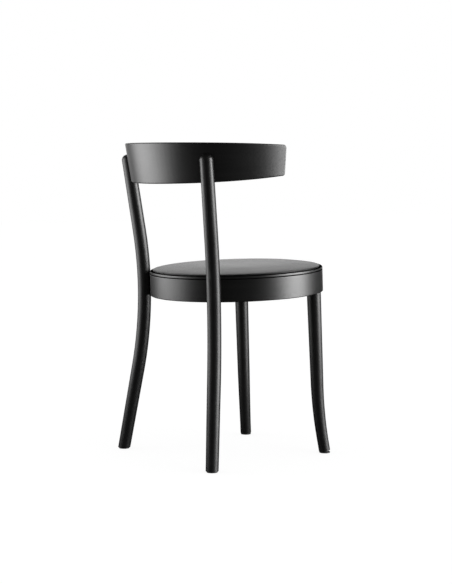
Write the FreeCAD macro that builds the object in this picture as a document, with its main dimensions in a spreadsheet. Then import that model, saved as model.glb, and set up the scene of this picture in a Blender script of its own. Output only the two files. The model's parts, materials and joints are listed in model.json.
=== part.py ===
import FreeCAD, Part
import math
import operator
import os
from types import SimpleNamespace
from Sketcher import Constraint

# A bentwood bistro chair: two bowed rear legs carry a curved plywood backrest, and a bent
# seat ring stands on them and on two flared front legs. A round padded seat lies on the ring.
# The chair is set out upright about the ring's own axis, with heights measured along that
# axis from the floor, and then the whole of it leans back a little on its level feet.

os.makedirs("parts", exist_ok=True)
doc = FreeCAD.newDocument("bistro_chair")
sheet = doc.addObject("Spreadsheet::Sheet", "Sizes")
Vector = FreeCAD.Vector

DRIVING_SIZES = {
    # the chair as a whole
    "chair_lean_angle": 2.13,
    "joint_gap": 0.1,
    # the bent seat ring
    "ring_top": 444,
    "ring_diameter": 422,
    "ring_depth": 53.5,
    "ring_wall": 36,
    "ring_edge": 2,
    # the plywood seat plate that lies on the ring
    "plate_thickness": 7,
    "plate_edge": 3,
    "plate_under_edge": 1.5,
    "tuck_inset": 8.5,
    "tuck_width": 3,
    "tuck_depth": 4,
    # the pad: foam under leather that is tucked into the plate's groove
    "leather": 1.4,
    "pad_wall": 0.5,
    "pad_roll_width": 34,
    "pad_roll_height": 6.5,
    "pad_crown": 5,
    # the rear legs: a bend between two straight runs, each leg in its own radial plane
    "rear_angle": 39.4,
    "rear_stand_off": 15.3,
    "rear_waist_drop": 19,
    "rear_bend": 1035,
    "rear_upper_angle": 6.9,
    "rear_lower_angle": 11.95,
    "rear_diameter": 32.5,
    "rear_foot": 29.8,
    "rear_tip": 31.6,
    "rear_below_band": 29,
    "rear_dome": 13.5,
    # the front legs: straight from the ring, then a bend that flares the foot
    "front_angle": 49.4,
    "front_inset": 20,
    "front_lean_angle": 0.7,
    "front_knee": 166,
    "front_bend": 1080,
    "front_flare_angle": 7.5,
    "front_diameter": 35,
    "front_knee_diameter": 31,
    "front_foot": 27.6,
    "tenon_diameter": 22,
    "tenon_length": 32,
    "tenon_inset": 19,
    # the backrest, a conical plywood band: heights at its back, at its side and at its ends
    "band_back": 17.4,
    "band_lap": 1.61,
    "band_slope_angle": 7.83,
    "band_sweep_angle": 210,
    "band_thickness": 11,
    "band_top": 763.7,
    "band_depth": 96.4,
    "band_top_side_drop": 6.7,
    "band_top_end_drop": 14.3,
    "band_bottom_side_rise": 4.5,
    "band_bottom_end_rise": 11.7,
    "band_side": 130,
    "band_reach": 26.7,
    "band_top_corner": 9,
    "band_bottom_corner": 6,
    "band_edge": 3,
    # screws through the band into each rear leg, under wooden plugs
    "back_screw": 5,
    "back_head": 9,
    "back_head_height": 3,
    "back_screw_bite": 9,
    "back_screw_rise": 18,
    "back_screw_pitch": 26,
    "plug_diameter": 10,
    "plug_height": 2.5,
    # screws through the ring into each rear leg
    "leg_screw": 6,
    "leg_head": 12,
    "leg_head_height": 4,
    "leg_screw_sink": 4,
    "leg_screw_bite": 16,
    "leg_screw_pitch": 26,
    # screws that lock the front legs' tenons
    "lock_screw": 4,
    "lock_head": 8,
    "lock_head_height": 3,
    "lock_screw_length": 26,
    # screws up through the ring into the seat plate
    "seat_screw": 5,
    "seat_head": 10,
    "seat_head_height": 3,
    "seat_screw_sink": 30,
    "seat_screw_bite": 4,
    # glides nailed under the feet
    "glide_diameter": 26,
    "glide_height": 3,
    "glide_edge": 1,
    "nail_diameter": 2.5,
    "nail_length": 14,
}

for row, (alias, value) in enumerate(DRIVING_SIZES.items(), start=1):
    sheet.set(f"A{row}", alias)
    sheet.set(f"B{row}", str(value))
    sheet.setAlias(f"B{row}", alias)
doc.recompute()


class Size:
    """A length, an angle or a ratio that knows its value now and its formula."""

    def __init__(self, value, formula):
        self.value = value
        self.formula = formula

    def __add__(self, other):
        return joined(self, other, "+", operator.add)

    def __sub__(self, other):
        return joined(self, other, "-", operator.sub)

    def __mul__(self, other):
        return joined(self, other, "*", operator.mul)

    def __truediv__(self, other):
        return joined(self, other, "/", operator.truediv)

    def __neg__(self):
        return Size(0.0, "0") - self


def as_size(thing):
    if isinstance(thing, Size):
        return thing
    return Size(float(thing), str(float(thing)))


def joined(left, right, sign, action):
    left = as_size(left)
    right = as_size(right)
    return Size(action(left.value, right.value), f"({left.formula} {sign} {right.formula})")


def sine(angle):
    return Size(math.sin(math.radians(angle.value)), f"sin({angle.formula})")


def cosine(angle):
    return Size(math.cos(math.radians(angle.value)), f"cos({angle.formula})")


def tangent(angle):
    return Size(math.tan(math.radians(angle.value)), f"tan({angle.formula})")


def root(area):
    return Size(math.sqrt(area.value), f"sqrt({area.formula})")


S = SimpleNamespace()
for alias in DRIVING_SIZES:
    setattr(S, alias, Size(float(getattr(sheet, alias)), f"Sizes.{alias}"))

NONE = as_size(0)
ONE = as_size(1)
EIGHTH_TURN = as_size(45)
SQUARE = as_size(90)
HALF_TURN = as_size(180)
FULL_TURN = 360
SEAT_SCREWS = 4
SAME_POINT = 1e-6
SAME_CIRCLE = 0.01

ring_radius = S.ring_diameter / 2
ring_inside = ring_radius - S.ring_wall
ring_bottom = S.ring_top - S.ring_depth
plate_top = S.ring_top + S.plate_thickness
tuck_radius = ring_radius - S.tuck_inset

# Each leg stands in an upright plane that points out from the ring's axis. A rear leg bends
# round a waist just below the ring's top, and its bend ends where its straight runs begin.
rear_radius = ring_radius + S.rear_stand_off
rear_waist = S.ring_top - S.rear_waist_drop
rear_height = S.band_top - S.rear_below_band
rear_upper_radius = rear_radius + S.rear_bend * (ONE - cosine(S.rear_upper_angle))
rear_upper_height = rear_waist + S.rear_bend * sine(S.rear_upper_angle)
rear_lower_radius = rear_radius + S.rear_bend * (ONE - cosine(S.rear_lower_angle))
rear_lower_height = rear_waist - S.rear_bend * sine(S.rear_lower_angle)

# The band's outer face is let into the rear legs by the lap, measured at half its depth
# where it stands past the middle of the leg. The band is a cone, widest at its top.
band_bottom = S.band_top - S.band_depth
band_middle = S.band_top - S.band_depth / 2
leg_at_band = (
    rear_upper_radius + (band_middle - rear_upper_height) * tangent(S.rear_upper_angle)
)
band_face_back = leg_at_band - S.band_lap - S.band_back * cosine(S.rear_angle)
band_face_across = S.band_back * sine(S.rear_angle)
band_middle_radius = root(
    band_face_back * band_face_back + band_face_across * band_face_across
)
band_radius = band_middle_radius + S.band_depth / 2 * tangent(S.band_slope_angle)

# The chair stands with the middle of its outer box over the origin: the backrest's rounded
# top edge reaches furthest back, and the ring's rounded lower edge furthest forward.
band_top_reach = S.band_back + band_radius - S.band_edge * tangent(S.band_slope_angle)
furthest_back = (
    band_top_reach * cosine(S.chair_lean_angle)
    + (S.band_top - S.band_edge) * sine(S.chair_lean_angle)
)
furthest_forward = (
    ring_radius * cosine(S.chair_lean_angle) - (ring_bottom + S.ring_edge) * sine(S.chair_lean_angle)
)
setback = (furthest_forward - furthest_back) / 2


def vector_text(x, y, z):
    return f"vector({x.formula}; {y.formula}; {z.formula})"


def chair_place(spin=NONE):
    """The chair's lean, on a piece whose own X axis points out at this angle of the ring."""
    turn = f"rotationx({(-S.chair_lean_angle).formula}) * rotationz({spin.formula})"
    return f"placement({vector_text(NONE, setback, NONE)}; {turn})"


def radial_place(spin, radius, height, tip, rise=NONE):
    """A place in the upright plane at this angle round the ring: its Z axis is tipped
    outward, and the place is moved on along that tipped axis by its rise."""
    plane = f"placement({vector_text(NONE, NONE, NONE)}; rotationz({spin.formula}))"
    spot = f"placement({vector_text(radius, NONE, height)}; rotationy({tip.formula}))"
    moved = f"placement({vector_text(NONE, NONE, rise)}; rotationz(0))"
    return f"{plane} * {spot} * {moved}"


def new_body(label, spin=NONE):
    body = doc.addObject("PartDesign::Body", f"{label}_body")
    body.Label = label
    body.AllowCompound = True
    body.setExpression("Placement", chair_place(spin))
    return body


def origin_plane(body, role):
    return next(item for item in body.Origin.OriginFeatures if item.Role == role)


def new_sketch(body, name, role="XZ_Plane", place=None):
    sketch = body.newObject("Sketcher::SketchObject", name)
    sketch.AttachmentSupport = [(origin_plane(body, role), "")]
    sketch.MapMode = "FlatFace"
    if place:
        sketch.setExpression("AttachmentOffset", place)
    return sketch


def corner_of(point):
    return Vector(point[0].value, point[1].value, 0)


def hold(sketch, edge, end, point):
    """Fixes an end of an edge at its two distances from the sketch's origin."""
    for axis, distance in zip(("DistanceX", "DistanceY"), point):
        index = sketch.addConstraint(Constraint(axis, -1, 1, edge, end, distance.value))
        sketch.setExpression(f"Constraints[{index}]", distance.formula)


def line(*end):
    return SimpleNamespace(middle=None, end=end)


def arc(middle, end):
    return SimpleNamespace(middle=middle, end=end)


def draw(sketch, start, steps, closed=True):
    """Draws lines and arcs from point to point, and closes the outline at its start."""
    corner = start
    first = joint = None
    for step in steps:
        if step.middle:
            curve = Part.Arc(corner_of(corner), corner_of(step.middle), corner_of(step.end))
        else:
            curve = Part.LineSegment(corner_of(corner), corner_of(step.end))
        edge = sketch.addGeometry(curve)
        near, far = 1, 2
        if (sketch.getPoint(edge, 1) - corner_of(corner)).Length > SAME_POINT:
            near, far = 2, 1
        if joint:
            sketch.addConstraint(Constraint("Coincident", *joint, edge, near))
        else:
            first = (edge, near)
            hold(sketch, edge, near, start)
        if closed and step is steps[-1]:
            sketch.addConstraint(Constraint("Coincident", edge, far, *first))
        else:
            hold(sketch, edge, far, step.end)
        if step.middle:
            middle = sketch.addGeometry(Part.Point(corner_of(step.middle)), True)
            sketch.addConstraint(Constraint("PointOnObject", middle, 1, edge))
            hold(sketch, middle, 1, step.middle)
        joint = (edge, far)
        corner = step.end


def draw_circle(sketch, centre, radius):
    edge = sketch.addGeometry(Part.Circle(corner_of(centre), Vector(0, 0, 1), radius.value))
    hold(sketch, edge, 3, centre)
    index = sketch.addConstraint(Constraint("Radius", edge, radius.value))
    sketch.setExpression(f"Constraints[{index}]", radius.formula)


def feature(body, kind, name, profile=None, **sizes):
    """Adds a feature to a body; each size given is bound to its formula."""
    made = body.newObject(f"PartDesign::{kind}", name)
    if profile:
        made.Profile = profile
        profile.Visibility = False
    for size, value in sizes.items():
        made.setExpression(size, value.formula)
    return made


def solid(body, kind, name, place, **sizes):
    """Adds or takes away a cylinder or a cone that stands at a place."""
    made = feature(body, kind, name, **sizes)
    made.AttachmentSupport = [(origin_plane(body, "XY_Plane"), "")]
    made.MapMode = "FlatFace"
    made.setExpression("AttachmentOffset", place)
    return made


def turned(body, profile, name):
    made = feature(body, "Revolution", name, profile)
    made.ReferenceAxis = (origin_plane(body, "Z_Axis"), [""])
    return made


def round_off(body, base, name, radius, chosen):
    """Rounds the edges of a feature that the test picks."""
    doc.recompute()
    edges = base.Shape.Edges
    picked = [f"Edge{number}" for number, edge in enumerate(edges, start=1) if chosen(edge)]
    made = feature(body, "Fillet", name, Radius=radius)
    made.Base = (base, picked)
    return made


def circle_at(radius=None, height=None):
    """A test for level circles of this radius, at this height, in a body's own frame."""
    def chosen(edge):
        if edge.Curve.TypeId != "Part::GeomCircle":
            return False
        right_size = radius is None or abs(edge.Curve.Radius - radius.value) < SAME_CIRCLE
        return right_size and abs(edge.Curve.Center.z - height.value) < SAME_CIRCLE
    return chosen


def upright(height, sideways=NONE, across=NONE):
    """A place with its Z axis up the chair, at this height above the floor."""
    return f"placement({vector_text(sideways, across, height)}; rotationz(0))"


REAR_SPINS = {"left": SQUARE - S.rear_angle, "right": SQUARE + S.rear_angle}
FRONT_SPINS = {"left": S.front_angle - SQUARE, "right": -SQUARE - S.front_angle}

# A front leg runs straight down to its knee, bends outward and ends in a short straight run.
front_foot_angle = S.front_lean_angle + S.front_flare_angle
front_radius = ring_radius - S.front_inset
front_knee_radius = front_radius + (ring_bottom - S.front_knee) * tangent(S.front_lean_angle)
front_lower_radius = (
    front_knee_radius + S.front_bend * (cosine(S.front_lean_angle) - cosine(front_foot_angle))
)
front_lower_height = (
    S.front_knee - S.front_bend * (sine(front_foot_angle) - sine(S.front_lean_angle))
)


def foot_of(run_radius, run_height, run_lean, backward):
    """Where a leg's lowest run meets the top of its glide: the radius and the height in the
    leg's own plane. Backward is how far back the leg's foot lies for each unit of radius."""
    slope = tangent(run_lean)
    reach = run_radius + run_height * slope
    tilt = backward * sine(S.chair_lean_angle)
    height = (S.glide_height + reach * tilt) / (cosine(S.chair_lean_angle) + slope * tilt)
    return reach - height * slope, height


rear_foot_radius, rear_foot_height = foot_of(
    rear_lower_radius, rear_lower_height, S.rear_lower_angle, cosine(S.rear_angle)
)
front_foot_radius, front_foot_height = foot_of(
    front_lower_radius, front_lower_height, front_foot_angle, -cosine(S.front_angle)
)


def level_place(spin, radius, height, rise=NONE):
    """A place in a leg's own frame, with its Z axis plumb to the floor."""
    turn = f"rotationz({(-spin).formula}) * rotationx({S.chair_lean_angle.formula})"
    spot = f"placement({vector_text(radius, NONE, height)}; {turn})"
    return f"{spot} * {upright(rise)}"


def level_foot(body, spin, radius, height, foot_diameter):
    """Saws the foot level with the floor and bores it for the glide's nail."""
    sketch = new_sketch(body, "foot_cut", "XY_Plane", level_place(spin, radius, height))
    draw_circle(sketch, (NONE, NONE), foot_diameter)
    feature(body, "Pocket", "level_foot", sketch, Length=foot_diameter * 2)
    solid(
        body, "SubtractiveCylinder", "nail_bore", level_place(spin, radius, height, -S.joint_gap),
        Radius=S.nail_diameter / 2 + S.joint_gap,
        Height=S.nail_length + S.joint_gap * 2,
    )


def band_radius_at(height):
    return band_radius - (S.band_top - height) * tangent(S.band_slope_angle)


def band_face_at(height):
    """How far from the ring's axis a rear leg's plane meets the band's outer face."""
    radius = band_radius_at(height)
    reach = root(radius * radius - band_face_across * band_face_across)
    return S.band_back * cosine(S.rear_angle) + reach


lower_back_screw = band_bottom + S.back_screw_rise
back_screw_heights = [lower_back_screw, lower_back_screw + S.back_screw_pitch]
leg_screw_middle = ring_bottom + S.ring_depth / 2
leg_screw_heights = [
    leg_screw_middle - S.leg_screw_pitch / 2,
    leg_screw_middle + S.leg_screw_pitch / 2,
]
square_to_upper_run = SQUARE + S.rear_upper_angle


def back_screw_place(spin, height, depth):
    """On a backrest screw's axis, this deep from the band's inner face."""
    rise = depth - S.band_thickness
    return radial_place(spin, band_face_at(height), height, square_to_upper_run, rise)


def leg_screw_place(spin, height, depth):
    """On a rear leg screw's axis, this deep from the ring's inner face."""
    return radial_place(spin, ring_inside, height, SQUARE, depth)


tenon_radius = ring_radius - S.tenon_inset
lock_screw_height = ring_bottom + S.tenon_length / 2


def lock_screw_place(spin, depth):
    """On the axis of a tenon's locking screw, this deep from the ring's inner face."""
    return radial_place(spin, ring_inside, lock_screw_height, SQUARE, depth)


def rear_leg(side):
    spin = REAR_SPINS[side]
    body = new_body(f"rear_leg_{side}", spin)
    path = new_sketch(body, "bend_path")
    draw(
        path,
        (rear_lower_radius, rear_lower_height),
        [arc((rear_radius, rear_waist), (rear_upper_radius, rear_upper_height))],
        closed=False,
    )
    lower_end = radial_place(NONE, rear_lower_radius, rear_lower_height, -S.rear_lower_angle)
    section = new_sketch(body, "bend_section", "XY_Plane", lower_end)
    draw_circle(section, (NONE, NONE), S.rear_diameter / 2)
    bend = feature(body, "AdditivePipe", "bend", section)
    bend.Spine = (path, ["Edge1"])
    path.Visibility = False
    solid(
        body, "AdditiveCone", "lower_run",
        radial_place(NONE, rear_lower_radius, rear_lower_height, HALF_TURN - S.rear_lower_angle),
        Radius1=S.rear_diameter / 2,
        Radius2=S.rear_foot / 2,
        Height=rear_lower_height / cosine(S.rear_lower_angle),
    )
    upper = solid(
        body, "AdditiveCone", "upper_run",
        radial_place(NONE, rear_upper_radius, rear_upper_height, S.rear_upper_angle),
        Radius1=S.rear_diameter / 2,
        Radius2=S.rear_tip / 2,
        Height=(rear_height - rear_upper_height) / cosine(S.rear_upper_angle),
    )
    round_off(body, upper, "domed_tip", S.rear_dome, circle_at(S.rear_tip / 2, rear_height))
    solid(
        body, "SubtractiveCylinder", "ring_housing", upright(ring_bottom - S.joint_gap),
        Radius=ring_radius + S.joint_gap,
        Height=S.ring_depth + S.plate_thickness + S.joint_gap * 2,
    )
    across = band_face_across if side == "left" else -band_face_across
    solid(
        body, "SubtractiveCone", "band_housing",
        upright(band_bottom, S.band_back * cosine(S.rear_angle), across),
        Radius1=band_radius_at(band_bottom) + S.joint_gap,
        Radius2=band_radius + S.joint_gap,
        Height=S.band_depth,
    )
    for number, height in enumerate(back_screw_heights):
        solid(
            body, "SubtractiveCylinder", f"back_screw_bore_{number}",
            back_screw_place(NONE, height, NONE),
            Radius=S.back_screw / 2 + S.joint_gap,
            Height=S.band_thickness + S.back_screw_bite + S.joint_gap,
        )
    for number, height in enumerate(leg_screw_heights):
        solid(
            body, "SubtractiveCylinder", f"leg_screw_bore_{number}",
            leg_screw_place(NONE, height, NONE),
            Radius=S.leg_screw / 2 + S.joint_gap,
            Height=S.ring_wall + S.leg_screw_bite + S.joint_gap,
        )
    level_foot(body, spin, rear_foot_radius, rear_foot_height, S.rear_foot)


def front_leg(side):
    spin = FRONT_SPINS[side]
    body = new_body(f"front_leg_{side}", spin)
    turn = S.front_flare_angle / 2 + S.front_lean_angle
    path = new_sketch(body, "flare_path")
    middle = (
        front_knee_radius + S.front_bend * (cosine(S.front_lean_angle) - cosine(turn)),
        S.front_knee - S.front_bend * (sine(turn) - sine(S.front_lean_angle)),
    )
    knee = (front_knee_radius, S.front_knee)
    draw(path, knee, [arc(middle, (front_lower_radius, front_lower_height))], closed=False)
    knee_place = radial_place(NONE, front_knee_radius, S.front_knee, HALF_TURN - S.front_lean_angle)
    section = new_sketch(body, "knee_section", "XY_Plane", knee_place)
    draw_circle(section, (NONE, NONE), S.front_knee_diameter / 2)
    foot_place = radial_place(
        NONE, front_lower_radius, front_lower_height, HALF_TURN - front_foot_angle
    )
    foot_section = new_sketch(body, "foot_section", "XY_Plane", foot_place)
    draw_circle(foot_section, (NONE, NONE), S.front_foot / 2)
    flare = feature(body, "AdditivePipe", "flare", section)
    flare.Spine = (path, ["Edge1"])
    flare.Sections = [foot_section]
    flare.Transformation = "Multisection"
    path.Visibility = False
    solid(
        body, "AdditiveCylinder", "foot_run", foot_place,
        Radius=S.front_foot / 2,
        Height=front_lower_height / cosine(front_foot_angle),
    )
    solid(
        body, "AdditiveCone", "upper_run",
        radial_place(NONE, front_knee_radius, S.front_knee, -S.front_lean_angle),
        Radius1=S.front_knee_diameter / 2,
        Radius2=S.front_diameter / 2,
        Height=(S.ring_top - S.front_knee) / cosine(S.front_lean_angle),
    )
    solid(
        body, "SubtractiveCylinder", "shoulder", upright(ring_bottom, front_radius),
        Radius=S.front_diameter,
        Height=S.ring_depth * 2,
    )
    solid(
        body, "AdditiveCylinder", "tenon", upright(ring_bottom, tenon_radius),
        Radius=S.tenon_diameter / 2,
        Height=S.tenon_length,
    )
    solid(
        body, "SubtractiveCylinder", "lock_screw_bore", lock_screw_place(NONE, NONE),
        Radius=S.lock_screw / 2 + S.joint_gap,
        Height=S.lock_screw_length + S.joint_gap,
    )
    level_foot(body, spin, front_foot_radius, front_foot_height, S.front_foot)


def seat_ring():
    body = new_body("seat_ring")
    section = new_sketch(body, "section")
    draw(
        section,
        (ring_inside, ring_bottom),
        [
            line(ring_radius, ring_bottom),
            line(ring_radius, S.ring_top),
            line(ring_inside, S.ring_top),
            line(ring_inside, ring_bottom),
        ],
    )
    hoop = turned(body, section, "bent_hoop")
    round_off(
        body, hoop, "eased_edges", S.ring_edge,
        lambda edge: edge.Curve.TypeId == "Part::GeomCircle",
    )
    for side, spin in REAR_SPINS.items():
        for number, height in enumerate(leg_screw_heights):
            solid(
                body, "SubtractiveCylinder", f"leg_screw_head_{side}_{number}",
                leg_screw_place(spin, height, -S.leg_screw_sink),
                Radius=S.leg_head / 2 + S.joint_gap,
                Height=S.leg_screw_sink * 2 + S.leg_head_height,
            )
            solid(
                body, "SubtractiveCylinder", f"leg_screw_bore_{side}_{number}",
                leg_screw_place(spin, height, NONE),
                Radius=S.leg_screw / 2 + S.joint_gap,
                Height=S.ring_wall + S.leg_screw_bite,
            )
    for side, spin in FRONT_SPINS.items():
        solid(
            body, "SubtractiveCylinder", f"mortise_{side}",
            radial_place(spin, tenon_radius, ring_bottom, NONE, -S.joint_gap),
            Radius=S.tenon_diameter / 2 + S.joint_gap,
            Height=S.tenon_length + S.joint_gap * 2,
        )
        solid(
            body, "SubtractiveCylinder", f"lock_screw_head_{side}",
            lock_screw_place(spin, -S.lock_head_height),
            Radius=S.lock_head / 2 + S.joint_gap,
            Height=S.lock_head_height * 2,
        )
        solid(
            body, "SubtractiveCylinder", f"lock_screw_bore_{side}",
            lock_screw_place(spin, NONE),
            Radius=S.lock_screw / 2 + S.joint_gap,
            Height=S.lock_screw_length + S.joint_gap,
        )
    below = f"placement({vector_text(NONE, NONE, ring_bottom)}; rotationx({HALF_TURN.formula}))"
    spot = new_sketch(body, "seat_screw_spot", "XY_Plane", below)
    draw_circle(spot, (ring_radius - S.ring_wall / 2, NONE), S.seat_screw / 2)
    doc.recompute()
    hole = feature(
        body, "Hole", "seat_screw_hole", spot, Diameter=S.seat_screw + S.joint_gap * 2
    )
    hole.DepthType = "ThroughAll"
    hole.HoleCutType = "Counterbore"
    hole.HoleCutCustomValues = True
    hole.setExpression("HoleCutDiameter", (S.seat_head + S.joint_gap * 2).formula)
    hole.setExpression("HoleCutDepth", (S.seat_screw_sink + S.seat_head_height).formula)
    four_round(body, "seat_screw_holes", [hole])


def four_round(body, name, originals):
    """Repeats features at the front, the back and both sides of the ring."""
    pattern = body.newObject("PartDesign::PolarPattern", name)
    pattern.Originals = originals
    pattern.Axis = (origin_plane(body, "Z_Axis"), [""])
    pattern.Angle = FULL_TURN
    pattern.Occurrences = SEAT_SCREWS
    body.Tip = pattern
    return pattern


def seat_plate():
    body = new_body("seat_plate")
    section = new_sketch(body, "section")
    groove_in = tuck_radius - S.tuck_width / 2
    groove_out = tuck_radius + S.tuck_width / 2
    groove_floor = plate_top - S.tuck_depth
    draw(
        section,
        (NONE, S.ring_top),
        [
            line(ring_radius, S.ring_top),
            line(ring_radius, plate_top),
            line(groove_out, plate_top),
            line(groove_out, groove_floor),
            line(groove_in, groove_floor),
            line(groove_in, plate_top),
            line(NONE, plate_top),
            line(NONE, S.ring_top),
        ],
    )
    disc = turned(body, section, "disc")
    top_eased = round_off(
        body, disc, "eased_top_edge", S.plate_edge, circle_at(ring_radius, plate_top)
    )
    round_off(
        body, top_eased, "eased_under_edge", S.plate_under_edge,
        circle_at(ring_radius, S.ring_top),
    )
    bore = solid(
        body, "SubtractiveCylinder", "seat_screw_bore",
        upright(S.ring_top - S.joint_gap, ring_radius - S.ring_wall / 2),
        Radius=S.seat_screw / 2 + S.joint_gap,
        Height=S.seat_screw_bite + S.joint_gap * 2,
    )
    four_round(body, "seat_screw_bores", [bore])


def crown(radius, inset):
    """The outline of a pad from the top of its wall over the soft roll to its middle, this
    far inside the leather's outer face."""
    wall_top = plate_top + S.pad_wall
    roll_width = S.pad_roll_width - inset
    roll_height = S.pad_roll_height - inset
    shoulder = (radius - roll_width, wall_top + roll_height)
    diagonal = cosine(EIGHTH_TURN)
    roll_middle = (radius - roll_width * (ONE - diagonal), wall_top + roll_height * diagonal)
    ball = (shoulder[0] * shoulder[0] + S.pad_crown * S.pad_crown) / (S.pad_crown * 2)
    top = shoulder[1] + S.pad_crown
    half_way = shoulder[0] / 2
    crown_middle = (half_way, top - ball + root(ball * ball - half_way * half_way))
    return [arc(roll_middle, shoulder), arc(crown_middle, (NONE, top))]


def seat_cover():
    """The leather: its skirt stands in the plate's groove, its edge rolls in to a crown."""
    body = new_body("seat_cover")
    outside = tuck_radius + S.leather / 2
    inside = outside - S.leather
    foot = plate_top - S.tuck_depth + S.joint_gap
    wall_top = plate_top + S.pad_wall
    over = crown(outside, NONE)
    under = crown(inside, S.leather)
    section = new_sketch(body, "section")
    draw(
        section,
        (outside, foot),
        [line(outside, wall_top)] + over + [
            line(*under[1].end),
            arc(under[1].middle, under[0].end),
            arc(under[0].middle, (inside, wall_top)),
            line(inside, foot),
            line(outside, foot),
        ],
    )
    turned(body, section, "skin")


def seat_foam():
    body = new_body("seat_foam")
    under_skin = S.leather + S.joint_gap
    outside = tuck_radius + S.leather / 2 - under_skin
    wall_top = plate_top + S.pad_wall
    section = new_sketch(body, "section")
    draw(
        section,
        (outside, plate_top),
        [line(outside, wall_top)] + crown(outside, under_skin) + [
            line(NONE, plate_top),
            line(outside, plate_top),
        ],
    )
    turned(body, section, "foam")


def draw_band_waste(sketch, rear, beyond, low, high):
    """Draws what is sawn away round the band, seen from the side: the band's top and bottom
    edges are long arcs, and each runs into the upright end through a rounded corner."""
    diagonal = ONE - cosine(EIGHTH_TURN)

    def edge_and_corner(back, side, end, corner, inward):
        """One long edge from the back, and the corner arc from it to the band's end."""
        turned_in = corner * inward
        meeting = (S.band_reach + corner, end)
        corner_middle = (S.band_reach + corner * diagonal, end + turned_in * diagonal)
        corner_end = (S.band_reach, end + turned_in)
        long_arc = Part.Arc(
            corner_of((rear, back)), corner_of((S.band_side, side)), corner_of(meeting)
        )
        short_arc = Part.Arc(corner_of(meeting), corner_of(corner_middle), corner_of(corner_end))
        edge = sketch.addGeometry(long_arc)
        corner_edge = sketch.addGeometry(short_arc)
        back_end, front_end = (1, 2) if inward < 0 else (2, 1)
        hold(sketch, edge, back_end, (rear, back))
        for point in ((S.band_side, side), (S.band_reach, end)):
            marker = sketch.addGeometry(Part.Point(corner_of(point)), True)
            hold(sketch, marker, 1, point)
            sketch.addConstraint(Constraint("PointOnObject", marker, 1, edge))
        sketch.addConstraint(Constraint("Tangent", edge, front_end, corner_edge, back_end))
        index = sketch.addConstraint(Constraint("Radius", corner_edge, corner.value))
        sketch.setExpression(f"Constraints[{index}]", corner.formula)
        return (corner_edge, front_end), corner_end

    top_corner, upper_end = edge_and_corner(
        S.band_top, S.band_top - S.band_top_side_drop, S.band_top - S.band_top_end_drop,
        S.band_top_corner, -1,
    )
    bottom_corner, lower_end = edge_and_corner(
        band_bottom, band_bottom + S.band_bottom_side_rise, band_bottom + S.band_bottom_end_rise,
        S.band_bottom_corner, 1,
    )
    end_edge = sketch.addGeometry(Part.LineSegment(corner_of(upper_end), corner_of(lower_end)))
    sketch.addConstraint(Constraint("Tangent", *top_corner, end_edge, 1))
    sketch.addConstraint(Constraint("Tangent", *bottom_corner, end_edge, 2))
    index = sketch.addConstraint(Constraint("DistanceX", -1, 1, end_edge, 1, S.band_reach.value))
    sketch.setExpression(f"Constraints[{index}]", S.band_reach.formula)
    sketch.addConstraint(Constraint("Vertical", end_edge))

    steps = [
        line(beyond, band_bottom),
        line(beyond, low),
        line(-rear, low),
        line(-rear, high),
        line(beyond, high),
        line(beyond, S.band_top),
        line(rear, S.band_top),
    ]
    draw(sketch, (rear, band_bottom), steps, closed=False)


def backrest():
    """A plywood cone band, cut to its outline from the side and rounded all along."""
    body = new_body("backrest")
    spare = S.band_thickness
    high = S.band_top + spare
    low = band_bottom - spare
    thickness = S.band_thickness / cosine(S.band_slope_angle)
    sweep_place = f"placement({vector_text(S.band_back, NONE, NONE)}; rotationz(0))"
    section = new_sketch(body, "section", "YZ_Plane", sweep_place)
    draw(
        section,
        (band_radius_at(low), low),
        [
            line(band_radius_at(high), high),
            line(band_radius_at(high) - thickness, high),
            line(band_radius_at(low) - thickness, low),
            line(band_radius_at(low), low),
        ],
    )
    cone = feature(body, "Revolution", "cone", section, Angle=S.band_sweep_angle)
    cone.ReferenceAxis = (section, ["V_Axis"])
    cone.Midplane = True

    rear = S.band_back + band_radius
    beyond = rear + spare
    waste = new_sketch(body, "waste_round_outline", "YZ_Plane")
    draw_band_waste(waste, rear, beyond, low - spare, high + spare)
    trimmed = feature(body, "Pocket", "trim", waste, Length=(band_radius + spare) * 2)
    trimmed.SideType = "Symmetric"
    doc.recompute()
    faces = [face for face in trimmed.Shape.Faces if face.Surface.TypeId == "Part::GeomCone"]
    rims = [edge for face in faces for edge in face.Edges]
    round_off(
        body, trimmed, "eased_edges", S.band_edge,
        lambda edge: any(edge.isSame(rim) for rim in rims),
    )
    for side, spin in REAR_SPINS.items():
        for number, height in enumerate(back_screw_heights):
            solid(
                body, "SubtractiveCylinder", f"plug_hole_{side}_{number}",
                back_screw_place(spin, height, -S.plug_height),
                Radius=S.plug_diameter / 2 + S.joint_gap,
                Height=S.plug_height * 2 + S.back_head_height,
            )
            solid(
                body, "SubtractiveCylinder", f"screw_bore_{side}_{number}",
                back_screw_place(spin, height, NONE),
                Radius=S.back_screw / 2 + S.joint_gap,
                Height=S.band_thickness * 2,
            )


def backrest_screws():
    body = new_body("backrest_screws")
    for side, spin in REAR_SPINS.items():
        for number, height in enumerate(back_screw_heights):
            solid(
                body, "AdditiveCylinder", f"head_{side}_{number}",
                back_screw_place(spin, height, S.plug_height + S.joint_gap),
                Radius=S.back_head / 2,
                Height=S.back_head_height - S.joint_gap,
            )
            solid(
                body, "AdditiveCylinder", f"shank_{side}_{number}",
                back_screw_place(spin, height, S.plug_height + S.back_head_height - S.joint_gap),
                Radius=S.back_screw / 2,
                Height=S.band_thickness + S.back_screw_bite - S.plug_height - S.back_head_height,
            )


def backrest_plugs():
    body = new_body("backrest_plugs")
    for side, spin in REAR_SPINS.items():
        for number, height in enumerate(back_screw_heights):
            solid(
                body, "AdditiveCylinder", f"plug_{side}_{number}",
                back_screw_place(spin, height, S.joint_gap),
                Radius=S.plug_diameter / 2,
                Height=S.plug_height - S.joint_gap,
            )


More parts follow.
